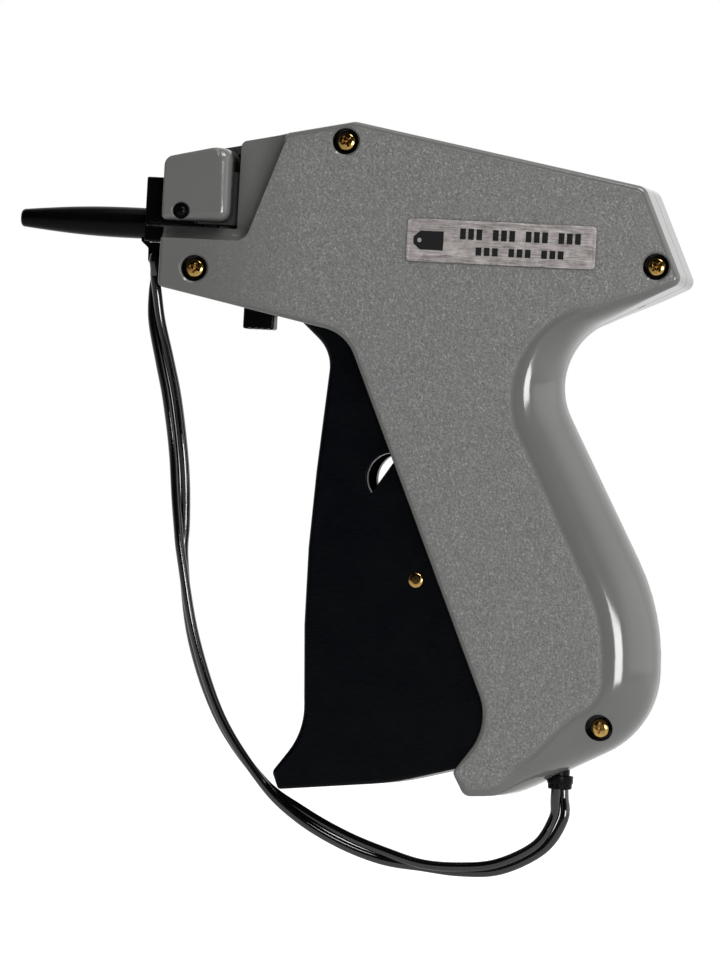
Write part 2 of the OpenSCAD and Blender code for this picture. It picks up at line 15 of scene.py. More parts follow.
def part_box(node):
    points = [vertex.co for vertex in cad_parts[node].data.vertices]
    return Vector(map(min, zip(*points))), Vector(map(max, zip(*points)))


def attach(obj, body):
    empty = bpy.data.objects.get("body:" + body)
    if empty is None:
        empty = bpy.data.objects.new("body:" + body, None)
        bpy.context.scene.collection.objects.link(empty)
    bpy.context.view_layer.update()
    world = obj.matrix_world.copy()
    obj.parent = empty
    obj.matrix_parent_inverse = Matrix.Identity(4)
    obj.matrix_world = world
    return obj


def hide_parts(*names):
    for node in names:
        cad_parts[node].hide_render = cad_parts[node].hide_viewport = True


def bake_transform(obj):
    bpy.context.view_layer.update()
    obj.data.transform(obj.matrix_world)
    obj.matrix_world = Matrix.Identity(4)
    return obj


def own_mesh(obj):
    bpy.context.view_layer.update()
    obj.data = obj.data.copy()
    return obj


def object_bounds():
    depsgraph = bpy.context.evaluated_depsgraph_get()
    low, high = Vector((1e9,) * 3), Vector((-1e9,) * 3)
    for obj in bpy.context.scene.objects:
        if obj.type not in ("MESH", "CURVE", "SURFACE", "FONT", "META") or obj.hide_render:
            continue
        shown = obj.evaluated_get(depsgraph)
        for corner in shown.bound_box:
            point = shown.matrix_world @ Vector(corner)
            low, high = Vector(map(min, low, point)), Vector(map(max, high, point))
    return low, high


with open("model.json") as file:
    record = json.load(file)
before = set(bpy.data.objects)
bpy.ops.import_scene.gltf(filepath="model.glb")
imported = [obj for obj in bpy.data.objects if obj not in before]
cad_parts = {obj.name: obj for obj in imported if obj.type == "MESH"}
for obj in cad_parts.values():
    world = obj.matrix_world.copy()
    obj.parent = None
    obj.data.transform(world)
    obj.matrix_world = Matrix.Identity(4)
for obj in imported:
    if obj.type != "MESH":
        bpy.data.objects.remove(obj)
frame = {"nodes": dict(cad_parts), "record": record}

cad_box = [list(corner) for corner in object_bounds()]
MM = 0.001

# ---------------------------------------------------------------- places taken from the frame


def box_mm(node):
    """Lowest and highest corner of a CAD node, in millimetres."""
    low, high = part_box(node)
    return low / MM, high / MM


def middle(node):
    """Centre of a CAD node's box, in millimetres."""
    low, high = box_mm(node)
    return (low + high) / 2


def side_centre(node):
    """Side-view place of the middle of a CAD node."""
    at = middle(node)
    return Vector((at.x, at.z))


def solids_mm(node):
    """The box of each separate solid in a CAD node, in millimetres."""
    bm = bmesh.new()
    bm.from_mesh(frame["nodes"][node].data)
    bmesh.ops.remove_doubles(bm, verts=bm.verts, dist=1e-6)
    unseen = set(bm.verts)
    boxes = []
    while unseen:
        group = [unseen.pop()]
        low = group[0].co.copy()
        high = low.copy()
        while group:
            vert = group.pop()
            low = Vector(map(min, low, vert.co))
            high = Vector(map(max, high, vert.co))
            for edge in vert.link_edges:
                other = edge.other_vert(vert)
                if other in unseen:
                    unseen.remove(other)
                    group.append(other)
        boxes.append((low / MM, high / MM))
    bm.free()
    return boxes


HALF = box_mm("right_housing")[1].y
WALL = 2
SCREW_SEAT = 1.9  # from the top of a screw's head down to its seat
SLOT_REAR = 19.3
SLOT_FOOT = -0.3
POCKET_DEPTH = 3.5
STRIP_SLOT = (12.1, 1.2)  # where the tag strip's slot starts along X, and half its width
PIVOT = side_centre("trigger_pivot_pins")
CAP_EYE = Vector((-1.1, -7.3))
LABEL_RAISED = 0.15  # height of the label's border above its field

Corner = namedtuple("Corner", "x z radius edge leave", defaults=[None])

# Each corner of the shells' side view, going round counter-clockwise, with the radius of the side
# edge there; leave is the edge radius at the end of the corner's arc, where it differs
SHELL_CORNERS = [
    Corner(1.9, -14.4, 1.6, 0.8),
    Corner(46.75, -23.3, 10, 0.9),
    Corner(85.3, -111.3, 13, 1.0),
    Corner(77.3, -122.8, 1.2, 0.6),
    Corner(80, -128.2, 2.5, 1.6),
    Corner(90, -127.6, 25, 1.6, 4.2),
    Corner(122.4, -110.5, 21, 9, 10.5),
    Corner(122.5, -83.6, 52, 10.5),
    Corner(90.5, -25.3, 16.2, 9.8, 3),
    Corner(124.4, -7.8, 2.2, 1.4),
    Corner(114.6, 13.7, 3, 1.4),
    Corner(46.3, 25.7, 4, 1.2),
    Corner(2.1, 16.3, 2.2, 0.9),
]

# ---------------------------------------------------------------- outlines


def corner_arc(before, at, after, radius, step=5.0):
    """Points and inward normals round one corner of a counter-clockwise outline."""
    into = (at - before).normalized()
    out = (after - at).normalized()
    bend = math.atan2(into.x * out.y - into.y * out.x, into.dot(out))
    side = 1 if bend > 0 else -1
    first_normal = Vector((-into.y, into.x))
    if abs(bend) < math.radians(1):
        return [(at, first_normal)]
    centre = at - into * radius * math.tan(abs(bend) / 2) + first_normal * side * radius
    steps = max(3, math.ceil(math.degrees(abs(bend)) / step))
    arc = []
    for i in range(steps + 1):
        normal = first_normal.copy()
        normal.rotate(Matrix.Rotation(bend * i / steps, 2))
        arc.append((centre - normal * side * radius, normal))
    return arc


def rounded(corners, straights=10):
    """A closed outline as a list of (point, inward normal, side edge radius)."""
    places = [Vector((c.x, c.z)) for c in corners]
    count = len(corners)
    arcs = [
        corner_arc(places[i - 1], places[i], places[(i + 1) % count], corners[i].radius)
        for i in range(count)
    ]
    outline = []
    for i, arc in enumerate(arcs):
        edge = corners[i].edge
        leave = corners[i].leave or edge
        for k, (point, normal) in enumerate(arc):
            t = k / max(len(arc) - 1, 1)
            outline.append((point, normal, edge + (leave - edge) * t * t * (2 - t)))
        next_edge = corners[(i + 1) % count].edge
        start, normal = arc[-1]
        end = arcs[(i + 1) % count][0][0]
        for k in range(1, straights):
            t = k / straights
            ease = t * t * (3 - 2 * t)
            outline.append((start.lerp(end, t), normal, leave + (next_edge - leave) * ease))
    return outline


def shrunk(corners, distances):
    """The corners moved inwards, each by its own distance, with their radii changed to suit."""
    moved = []
    count = len(corners)
    for i, c in enumerate(corners):
        at = Vector((c.x, c.z))
        before = Vector((corners[i - 1].x, corners[i - 1].z))
        after = Vector((corners[(i + 1) % count].x, corners[(i + 1) % count].z))
        into = (at - before).normalized()
        out = (after - at).normalized()
        n1 = Vector((-into.y, into.x))
        n2 = Vector((-out.y, out.x))
        d = distances[i]
        place = at + (n1 + n2) * (d / (1 + n1.dot(n2)))
        radius = max(c.radius - d, 0.4) if n1.x * n2.y - n1.y * n2.x > 0 else c.radius + d
        moved.append(Corner(place.x, place.y, radius, max(c.edge - d, 0.3)))
    return moved


def circle(at, radius, sides=64, start=0.0, turn=360.0):
    """Side-view points on a circle or, with a smaller turn, on an arc of it."""
    last = sides if turn == 360 else sides + 1
    angles = [math.radians(start + turn * i / sides) for i in range(last)]
    return [Vector((at[0] + radius * math.cos(a), at[1] + radius * math.sin(a))) for a in angles]


# ---------------------------------------------------------------- solids


def new_piece(name, bm):
    """A bmesh as an object in the scene."""
    bmesh.ops.recalc_face_normals(bm, faces=bm.faces)
    mesh = bpy.data.meshes.new(name)
    bm.to_mesh(mesh)
    bm.free()
    piece = bpy.data.objects.new(name, mesh)
    bpy.context.scene.collection.objects.link(piece)
    return piece


def loft(name, rings, finish=None):
    """Rings of points joined into a closed solid; finish is each point's share of the moulded texture."""
    bm = bmesh.new()
    rows = [[bm.verts.new(point) for point in ring] for ring in rings]
    for near, far in zip(rows, rows[1:]):
        for i in range(len(near)):
            bm.faces.new((near[i - 1], near[i], far[i], far[i - 1]))
    bm.faces.new(rows[0])
    bm.faces.new(rows[-1])
    layer = bm.loops.layers.uv.new("finish")
    if finish:
        share = {}
        for row, values in zip(rows, finish):
            share.update(zip(row, values))
        for face in bm.faces:
            for loop in face.loops:
                loop[layer].uv = (share[loop.vert], 0)
    return new_piece(name, bm)


def prism(name, points, y0, y1):
    """A side-view shape made solid from y0 to y1."""
    return loft(name, [[Vector((p[0], y, p[1])) for p in points] for y in (y0, y1)])


def block(name, low, high):
    """A plain box, used as a cutter or as the start of a shaped piece."""
    points = [(low[0], low[2]), (high[0], low[2]), (high[0], high[2]), (low[0], high[2])]
    return prism(name, points, low[1], high[1])


def edge_depth(radius, deepest):
    """How far down the wall an edge reaches: narrow edges are round, wide ones oval, down to deepest."""
    round_up_to, oval_from = 1.6, 4.0
    t = max(0.0, min(1.0, (radius - round_up_to) / (oval_from - round_up_to)))
    return radius + max(deepest - radius, 0) * t * t * (3 - 2 * t)


def edge_rings(outline, face, inward, steps=10, deepest=0):
    """Rings from the straight wall round the side edge to the flat face at y = face."""
    rings = []
    for k in range(steps + 1):
        a = math.radians(90 * k / steps)
        ring = []
        for point, normal, radius in outline:
            at = point + normal * radius * (1 - math.cos(a))
            depth = edge_depth(radius, deepest) * (1 - math.sin(a))
            ring.append(Vector((at.x, face + inward * depth, at.y)))
        rings.append(ring)
    return rings


def flat_ring(outline, y, inset=0.0):
    """One ring of the outline at height y, moved in by inset."""
    points = [point + normal * inset for point, normal, _ in outline]
    return [Vector((p.x, y, p.y)) for p in points]


def plate(name, corners, y0, y1, both=False, steps=6):
    """An outline made solid from y0 to y1, its edge at y1 rounded, and at y0 too when both is set."""
    outline = rounded(corners)
    inward = -1 if y1 > y0 else 1
    rings = edge_rings(outline, y1, inward, steps)
    if both:
        far_edge = list(reversed(edge_rings(outline, y0, -inward, steps)))
    else:
        far_edge = [flat_ring(outline, y0)]
    return loft(name, far_edge + rings)


AXES = {
    "X": (Vector((1, 0, 0)), Vector((0, 1, 0)), Vector((0, 0, 1))),
    "Y": (Vector((0, 1, 0)), Vector((0, 0, 1)), Vector((1, 0, 0))),
    "Z": (Vector((0, 0, 1)), Vector((1, 0, 0)), Vector((0, 1, 0))),
}


def turned(name, profile, origin=(0, 0, 0), axis="Y", sides=64):
    """A solid of revolution from a profile of (distance along the axis, radius)."""
    along, first, second = AXES[axis]
    rings = []
    for distance, radius in profile:
        ring = []
        for i in range(sides):
            a = 2 * math.pi * (i + 0.5) / sides
            outwards = first * math.cos(a) + second * math.sin(a)
            ring.append(Vector(origin) + along * distance + outwards * radius)
        rings.append(ring)
    return loft(name, rings)


def bar(name, at, radius, y0, y1, sides=64):
    """A round bar across the gun at a side-view place."""
    return turned(name, [(y0, radius), (y1, radius)], (at[0], 0, at[1]), "Y", sides)


def tube(name, path, radius, sides=16):
    """A round bar along a path, with domed ends."""
    rings = []
    side = None
    angles = [2 * math.pi * k / sides for k in range(sides)]
    for i, point in enumerate(path):
        forward = (path[min(i + 1, len(path) - 1)] - path[max(i - 1, 0)]).normalized()
        if side is None:
            side = forward.orthogonal().normalized()
        side = (side - forward * side.dot(forward)).normalized()
        up = forward.cross(side)
        ends = [(0, 1)]
        if i == 0:
            ends = [(-0.6, 0.3), (-0.4, 0.75), (0, 1)]
        if i == len(path) - 1:
            ends = [(0, 1), (0.4, 0.75), (0.6, 0.3)]
        for shift, share in ends:
            centre = point + forward * radius * shift
            reach = radius * share
            rings.append([centre + (side * math.cos(a) + up * math.sin(a)) * reach for a in angles])
    return loft(name, rings)


def coil(name, start, end, radius, wire, turns, axis="X"):
    """A compression spring between two places on a line, with closed end turns."""
    along, first, second = AXES[axis]
    steps = 20
    path = []
    closed = 1
    length = (Vector(end) - Vector(start)).length - wire * 2
    for i in range((turns + 2 * closed) * steps + 1):
        turn = i / steps
        open_turn = min(max(turn - closed, 0), turns)
        rise = wire + length * open_turn / turns
        a = 2 * math.pi * turn
        path.append(Vector(start) + along * rise + (first * math.cos(a) + second * math.sin(a)) * radius)
    return tube(name, path, wire, 10)


def apply_modifiers(piece):
    """Puts the modifiers' result into the piece's own mesh."""
    graph = bpy.context.evaluated_depsgraph_get()
    mesh = bpy.data.meshes.new_from_object(piece.evaluated_get(graph), depsgraph=graph)
    piece.modifiers.clear()
    old = piece.data
    piece.data = mesh
    bpy.data.meshes.remove(old)


def combine(piece, operation, *tools):
    """Cuts, joins or intersects a piece with other solids, which are used up."""
    for tool in tools:
        step = piece.modifiers.new("boolean", "BOOLEAN")
        step.operation = operation
        step.solver = "EXACT"
        step.object = tool
        apply_modifiers(piece)
        bpy.data.objects.remove(tool)
    return piece


def cut(piece, *tools):
    return combine(piece, "DIFFERENCE", *tools)


def join(piece, *tools):
    return combine(piece, "UNION", *tools)


def bevelled(piece, width, segments=3):
    """Rounds every sharp edge of a simple piece."""
    bevel = piece.modifiers.new("edges", "BEVEL")
    bevel.width = width
    bevel.segments = segments
    bevel.limit_method = "ANGLE"
    bevel.angle_limit = math.radians(40)
    apply_modifiers(piece)
    return piece


def place(piece, body, material, slot, *nodes, sharp=35):
    """Scales a finished shape to metres, smooths its shading and sets it on its body."""
    piece.data.transform(Matrix.Scale(MM, 4))
    piece.data.shade_smooth()
    piece.data.set_sharp_from_angle(angle=math.radians(sharp))
    weighted = piece.modifiers.new("normals", "WEIGHTED_NORMAL")
    weighted.keep_sharp = True
    weighted.weight = 100
    apply_modifiers(piece)
    piece.data.materials.clear()
    piece.data.materials.append(material)
    if body:
        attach(piece, body)
    if nodes:
        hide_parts(*nodes)
    return piece


# ---------------------------------------------------------------- materials


class Finish:
    """A node material under construction, around one Principled shader."""

    def __init__(self, name, base, roughness, metallic=0.0, specular=0.5):
        self.material = bpy.data.materials.new(name)
        self.material.use_nodes = True
        self.tree = self.material.node_tree
        self.shader = self.tree.nodes["Principled BSDF"]
        self.place = self.node("ShaderNodeTexCoord").outputs["Object"]
        self.set("Base Color", (*base, 1))
        self.set("Roughness", roughness)
        self.set("Metallic", metallic)
        self.set("Specular IOR Level", specular)

    def node(self, kind, **settings):
        made = self.tree.nodes.new(kind)
        for key, value in settings.items():
            setattr(made, key, value)
        return made

    def link(self, output, target):
        self.tree.links.new(output, target)

    def feed(self, socket, value):
        """Gives an input a fixed value or a node's output."""
        if isinstance(value, bpy.types.NodeSocket):
            self.link(value, socket)
        else:
            socket.default_value = value

    def set(self, name, value):
        self.feed(self.shader.inputs[name], value)

    def stretched(self, size_mm):
        """Object coordinates counted in grains of the given size along X, Y and Z."""
        mapping = self.node("ShaderNodeMapping")
        mapping.inputs["Scale"].default_value = [1 / (s * MM) for s in size_mm]
        self.link(self.place, mapping.inputs["Vector"])
        return mapping.outputs["Vector"]

    def noise(self, size_mm, detail=2.0, rough=0.5):
        """Noise with grains of size_mm, which is one length or three."""
        sizes = size_mm if isinstance(size_mm, tuple) else (size_mm,) * 3
        made = self.node("ShaderNodeTexNoise")
        made.inputs["Scale"].default_value = 1
        made.inputs["Detail"].default_value = detail
        made.inputs["Roughness"].default_value = rough
        self.link(self.stretched(sizes), made.inputs["Vector"])
        return made.outputs["Fac"]

    def cells(self, size_mm):
        """Distance to the nearest of many scattered points about size_mm apart."""
        made = self.node("ShaderNodeTexVoronoi")
        made.inputs["Scale"].default_value = 1
        self.link(self.stretched((size_mm,) * 3), made.inputs["Vector"])
        return made.outputs["Distance"]

    def remap(self, value, low, high, to_low=0.0, to_high=1.0):
        made = self.node("ShaderNodeMapRange")
        self.link(value, made.inputs["Value"])
        made.inputs["From Min"].default_value = low
        made.inputs["From Max"].default_value = high
        made.inputs["To Min"].default_value = to_low
        made.inputs["To Max"].default_value = to_high
        return made.outputs["Result"]

    def maths(self, operation, a, b):
        made = self.node("ShaderNodeMath", operation=operation)
        self.feed(made.inputs[0], a)
        self.feed(made.inputs[1], b)
        return made.outputs[0]

    def mix(self, share, a, b):
        """One colour blended into another; each is a triple or a node's output."""
        made = self.node("ShaderNodeMix", data_type="RGBA")
        self.link(share, made.inputs[0])
        for socket, value in zip((made.inputs[6], made.inputs[7]), (a, b)):
            self.feed(socket, value if isinstance(value, bpy.types.NodeSocket) else (*value, 1))
        return made.outputs[2]

    def edges(self, radius_mm):
        """1 on sharp edges and 0 on flat places, from how a bevel would turn the surface."""
        bevel = self.node("ShaderNodeBevel", samples=4)
        bevel.inputs["Radius"].default_value = radius_mm * MM
        straight = self.node("ShaderNodeNewGeometry").outputs["Normal"]
        dot = self.node("ShaderNodeVectorMath", operation="DOT_PRODUCT")
        self.link(bevel.outputs["Normal"], dot.inputs[0])
        self.link(straight, dot.inputs[1])
        return self.remap(dot.outputs["Value"], 0.99, 0.8)

    def bump(self, height, depth_mm):
        made = self.node("ShaderNodeBump")
        made.inputs["Strength"].default_value = 1
        made.inputs["Distance"].default_value = depth_mm * MM
        self.link(height, made.inputs["Height"])
        if self.shader.inputs["Normal"].is_linked:
            self.link(self.shader.inputs["Normal"].links[0].from_socket, made.inputs["Normal"])
        self.link(made.outputs["Normal"], self.shader.inputs["Normal"])

    def rough_between(self, pattern, low, high):
        """Roughness that follows a pattern from low to high."""
        self.set("Roughness", self.remap(pattern, 0.3, 0.7, low, high))

    def soft_edges(self, radius_mm):
        """Rounds tiny edges in the shading, as a moulded or deburred edge is."""
        bevel = self.node("ShaderNodeBevel", samples=4)
        bevel.inputs["Radius"].default_value = radius_mm * MM
        self.link(bevel.outputs["Normal"], self.shader.inputs["Normal"])


def shell_plastic():
    """Grey moulded plastic: spark-eroded texture on the flat sides, polished round-overs and nose, painted
    shade in recesses.
    """
    polished, cloud = (0.112, 0.112, 0.108), (0.118, 0.118, 0.114)
    textured_grey, pit, fleck = (0.135, 0.135, 0.132), (0.088, 0.088, 0.086), (0.3, 0.3, 0.295)
    # Near-black colour of the painted shade in corners, coves and recesses
    painted_shade_colour = (0.008, 0.008, 0.008)
    finish = Finish("shell_plastic", polished, 0.3)
    finish.soft_edges(0.12)
    uv = finish.node("ShaderNodeUVMap", uv_map="finish")
    parts = finish.node("ShaderNodeSeparateXYZ")
    finish.link(uv.outputs["UV"], parts.inputs[0])
    across = finish.node("ShaderNodeSeparateXYZ")
    finish.link(finish.place, across.inputs[0])
    past_nose = finish.remap(across.outputs["X"], 8 * MM, 36 * MM)
    textured = finish.maths("MULTIPLY", finish.remap(parts.outputs["X"], 0.25, 1.0), past_nose)
    dimples = finish.maths("MULTIPLY", finish.cells(0.7), 0.35)
    grain = finish.maths("ADD", finish.noise(0.55, 2.5, 0.65), dimples)
    finish.bump(finish.maths("MULTIPLY", grain, textured), 0.16)
    speckle = finish.noise(0.42, 2.0, 0.75)
    flecks = finish.maths("MULTIPLY", finish.remap(speckle, 0.56, 0.74), textured)
    pits = finish.maths("MULTIPLY", finish.remap(speckle, 0.48, 0.34), textured)
    cloudy = finish.mix(finish.remap(finish.noise(18.0, 2.0), 0.3, 0.7), polished, cloud)
    pitted = finish.mix(pits, finish.mix(textured, cloudy, textured_grey), pit)
    flecked = finish.mix(flecks, pitted, fleck)
    # Painted shade: ambient occlusion darkens the base colour towards near black in corners, coves and
    # recesses
    painted_shade_ao = finish.node("ShaderNodeAmbientOcclusion", samples=6)
    painted_shade_ao.inputs["Distance"].default_value = 5 * MM
    painted_shade_share = finish.remap(painted_shade_ao.outputs["AO"], 0.95, 0.52)
    finish.set("Base Color", finish.mix(painted_shade_share, flecked, painted_shade_colour))
    smudged = finish.remap(finish.noise(9.0, 3.0), 0.3, 0.7, 0.09, 0.13)
    matt = finish.node("ShaderNodeMix")
    finish.link(textured, matt.inputs[0])
    finish.link(smudged, matt.inputs[2])
    matt.inputs[3].default_value = 0.5
    finish.set("Roughness", matt.outputs[0])
    return finish.material


def black_plastic(name, base, roughness, grain_mm=0.8, specular=0.4):
    """Smooth black moulding, a little paler and duller along its edges."""
    finish = Finish(name, base, roughness, specular=specular)
    finish.soft_edges(0.15)
    worn = finish.maths("MULTIPLY", finish.edges(0.3), finish.remap(finish.noise(1.6, 3.0), 0.35, 0.7))
    finish.set("Base Color", finish.mix(worn, base, [min(1, c * 2.5 + 0.01) for c in base]))
    finish.rough_between(finish.noise(4.0, 4.0), roughness * 0.85, roughness * 1.25)
    finish.bump(finish.noise(grain_mm, 2.0), 0.01)
    return finish.material


def trigger_plastic():
    """Satin black moulding with a faint grain that runs across the trigger."""
    base, paler = (0.0003, 0.0006, 0.0014), (0.0014, 0.002, 0.0032)
    finish = Finish("trigger_plastic", base, 0.28, specular=0.1)
    finish.soft_edges(0.15)
    grain = finish.noise((2.4, 1.0, 0.5), 3.0, 0.65)
    finish.bump(grain, 0.03)
    finish.set("Base Color", finish.mix(finish.remap(grain, 0.45, 0.75), base, paler))
    finish.rough_between(finish.noise(9.0, 3.0), 0.26, 0.34)
    return finish.material


def foil():
    """Brushed aluminium foil, a little pink, with fine scratches along it."""
    dark, bright = (0.2, 0.18, 0.175), (0.5, 0.465, 0.455)
    finish = Finish("foil", bright, 0.45, metallic=0.55)
    streaks = finish.noise((3.5, 3.5, 0.18), 4.0, 0.7)
    blotches = finish.maths("MULTIPLY", finish.noise(2.2, 4.0, 0.7), 0.4)
    both = finish.maths("ADD", finish.maths("MULTIPLY", streaks, 0.6), blotches)
    finish.set("Base Color", finish.mix(finish.remap(both, 0.4, 0.62), dark, bright))
    finish.rough_between(streaks, 0.35, 0.6)
    finish.bump(both, 0.03)
    return finish.material


def ink():
    """Matt black print."""
    finish = Finish("ink", (0.004, 0.004, 0.004), 0.6, specular=0.2)
    finish.rough_between(finish.noise(0.4, 2.0), 0.5, 0.75)
    return finish.material


def metal(name, base, roughness, grain_mm, dull=0.6):
    """Metal with a fine grain, duller and darker in patches."""
    finish = Finish(name, base, roughness, metallic=1.0)
    finish.soft_edges(0.1)
    grain = finish.noise(grain_mm, 3.0, 0.6)
    tarnish = finish.remap(finish.noise(1.3, 3.0), 0.45, 0.7)
    finish.set("Base Color", finish.mix(tarnish, base, [c * dull for c in base]))
    finish.rough_between(grain, roughness * 0.75, roughness * 1.3)
    finish.bump(grain, 0.008)
    return finish.material


def plain_plastic(name, base, roughness):
    """Plain moulded plastic for the parts inside."""
    finish = Finish(name, base, roughness)
    finish.soft_edges(0.15)
    tint = finish.remap(finish.noise(7.0, 3.0), 0.3, 0.7)
    finish.set("Base Color", finish.mix(tint, [c * 0.88 for c in base], base))
    finish.rough_between(finish.noise(1.5, 3.0), roughness * 0.85, roughness * 1.2)
    finish.bump(finish.noise(0.5, 2.0), 0.012)
    return finish.material


def make_materials():
    return {
        "shell": shell_plastic(),
        "black_gloss": black_plastic("black_gloss_plastic", (0.001, 0.001, 0.0014), 0.26, specular=0.1),
        "trigger": trigger_plastic(),
        "inner_plastic": plain_plastic("inner_black_plastic", (0.02, 0.02, 0.021), 0.45),
        "pale_plastic": plain_plastic("pale_acetal", (0.6, 0.57, 0.48), 0.38),
        "foil": foil(),
        "ink": ink(),
        "brass": metal("plated_brass", (0.6, 0.38, 0.12), 0.11, 0.5),
        "steel": metal("ground_steel", (0.56, 0.56, 0.58), 0.22, (2.5, 0.25, 0.25), 0.8),
        "pressed_steel": metal("pressed_steel", (0.4, 0.41, 0.43), 0.36, 0.8, 0.7),
        "rubber": plain_plastic("bumper_rubber", (0.02, 0.02, 0.02), 0.75),
        "cord": black_plastic("cord_rubber", (0.002, 0.002, 0.0023), 0.075, 1.2, 0.8),
    }


# ---------------------------------------------------------------- shells

screws = sorted(solids_mm("housing_screws"), key=lambda box: box[0].x)


def screw_centre(box):
    """Side-view place of a screw."""
    low, high = box
    return Vector(((low.x + high.x) / 2, (low.z + high.z) / 2))


def shell_half(name, side):
    """One solid half with its rounded side edge and, next to the joint face, a fine parting groove."""
    outline = rounded(SHELL_CORNERS)
    groove = 0.22
    rings = [flat_ring(outline, 0, groove), flat_ring(outline, side * groove)]
    rings += edge_rings(outline, side * HALF, -side, 12, HALF - 0.6)
    small_edge = [max(0.0, min(1.0, (5 - radius) / 3)) for _, _, radius in outline]
    finish = [[0.0] * len(outline)] * (len(rings) - 1) + [[0.75 * small for small in small_edge]]
    # The texture fades in over two more rings on the flat side, beyond the side edge
    for beyond, share, amount in ((0.5, 0.9, 0.1), (2.4, 0.95, 1.0)):
        wider = [
            c._replace(edge=min(c.edge + beyond, c.radius * share), leave=c.leave and c.leave + beyond)
            for c in SHELL_CORNERS
        ]
        rings.append(edge_rings(rounded(wider), side * HALF, -side, 1)[-1])
        finish.append([max(amount, 0.85 * small) for small in small_edge])
    return loft(name, rings, finish)


def hollow(side):
    """The space inside a half, less the posts, cheeks and pocket floor that stand in it."""
    corners = shrunk(SHELL_CORNERS, [WALL] * len(SHELL_CORNERS))
    depth = HALF - WALL
    outline = rounded(corners)
    rings = [flat_ring(outline, -side)] + edge_rings(outline, side * depth, -side, 6)
    space = loft("hollow", rings)
    cheek_foot = box_mm("trigger")[1].y + 0.1
    cut(space, bar("cheek", PIVOT, 4.5, side * cheek_foot, side * HALF, 48))
    for screw in screws:
        cut(space, bar("post", screw_centre(screw), 3.6, -2 * side, side * HALF, 40))
    rod_low, rod_high = box_mm("guide_rod")
    rod_post_low = (rod_high.x - 3, -2 * HALF, rod_low.z - 2)
    cut(space, block("rod_post", rod_post_low, (200, 2 * HALF, rod_high.z + 2)))
    if side > 0:
        bracket_low, bracket_high = box_mm("lever_bracket")
        post_low = (bracket_high.x, -2 * HALF, bracket_low.z + 2.5)
        cut(space, block("bracket_post", post_low, (200, 2 * HALF, bracket_high.z - 1)))
    else:
        floor_corners = shrunk(POCKET_CORNERS, [-WALL] * 4)
        points = [point for point, _, _ in rounded(floor_corners)]
        cut(space, prism("pocket_floor", points, -6.5, -2 * HALF))
    return space


def trigger_mouth(side):
    """Where the trigger enters the grip: the front, and an arc that its foot sweeps."""
    reach = HALF - 2.3
    front = [(34.4, -10), (34.4, -40), (70, -140), (75, -112), (86, -106), (56, -33), (58, -10)]
    sweep = 114.0
    arc_start, arc_end = (math.degrees(math.asin(x / sweep)) - 90 for x in (18.5, 40.5))
    arc = circle(PIVOT, sweep, 16, arc_start, arc_end - arc_start)
    foot = [(68, -104)] + [tuple(p) for p in arc] + [(90, -104)]
    return [
        prism("mouth_front", front, -side, side * reach),
        prism("mouth_foot", foot, -1.01 * side, side * (reach + 0.01)),
    ]


def half_cuts(side):
    """Openings that both halves have."""
    holder_low, holder_high = box_mm("needle_holder")
    button_low, button_high = box_mm("release_button")
    ferrule_at = (middle("cord_ferrule").x, 0, box_mm("cord_ferrule")[0].z + 2.2)
    rod_end = box_mm("guide_rod")[1].x
    seat = holder_high.y + 0.1
    button_room = (button_low.x - 0.25, -button_high.y - 0.3, -30)
    slot_start, slot_half = STRIP_SLOT
    return trigger_mouth(side) + [
        block("holder_seat", (-6, -seat, holder_low.z - 0.1), (4.5, seat, holder_high.z + 0.1)),
        block("strip_slot", (slot_start, -slot_half, 10), (SLOT_REAR, slot_half, 30)),
        block("button_slot", button_room, (button_high.x + 0.3, button_high.y + 0.3, -12)),
        turned("ferrule_hole", [(-6, 3.1), (1.1, 3.1)], ferrule_at, "Z", 48),
        turned("ferrule_bore", [(-6, 2.2), (7, 2.2)], ferrule_at, "Z", 48),
        turned("rod_hole", [(32, 1.55), (rod_end, 1.55)], (0, 0, middle("guide_rod").z), "X", 32),
        bar("pivot_hole", PIVOT, 2.02, 0, side * (HALF - 1), 48),
    ]


def counterbore(screw):
    """A stepped hole for one housing screw, chamfered at the surface, with a deep groove round its seat."""
    seat = screw[0].y + SCREW_SEAT
    centre = screw_centre(screw)
    radius = 3.05
    face = -HALF
    profile = [(face - 1, radius + 1.35), (face, radius + 0.45), (face + 0.4, radius), (seat + 2, radius)]
    profile += [(seat + 2.01, 2.35), (seat, 2.3), (seat + 0.01, 1.7), (1, 1.7)]
    return turned("counterbore", profile, (centre.x, 0, centre.y), "Y", 72)


# The recess round the feed cover: a flat floor that sweeps up in a cove to the side of the shell
POCKET_CORNERS = [
    Corner(-6, -3.1, 2.3, 2.2),
    Corner(21.9, -3.1, 3.6, 3.4),
    Corner(33.6, 30, 3.5, 3.4),
    Corner(-6, 30, 0.5, 0.4),
]


def pocket():
    """The cutter for the recess."""
    outline = rounded(POCKET_CORNERS)
    floor = -(HALF - POCKET_DEPTH)
    lip = 0.15
    rings = [flat_ring(outline, -HALF - 1, -1 - lip), flat_ring(outline, -HALF, -lip)]
    rings.append(flat_ring(outline, -HALF + lip * 0.3, -lip * 0.3))
    cove = edge_rings(outline, floor, -1, 12)
    return loft("pocket", rings + cove)


def slot_cutter():
    """Clears the left half in front of and above the slots; the shell's corner at the top is rounded."""
    fillet = 1.5
    front, crest = SHELL_CORNERS[-1], SHELL_CORNERS[-2]
    slope = (crest.z - front.z) / (crest.x - front.x)
    tilt = math.atan(slope)
    middle_x = SLOT_REAR + fillet
    centre = (middle_x, front.z + (middle_x - front.x) * slope - fillet / math.cos(tilt))
    arc = circle(centre, fillet, 8, 180, -(90 - math.degrees(tilt)))
    points = [(-8, SLOT_FOOT), (SLOT_REAR, SLOT_FOOT)] + [tuple(p) for p in arc]
    points += [(points[-1][0], 30), (-8, 30)]
    return prism("slots", points, 1, -HALF - 1)


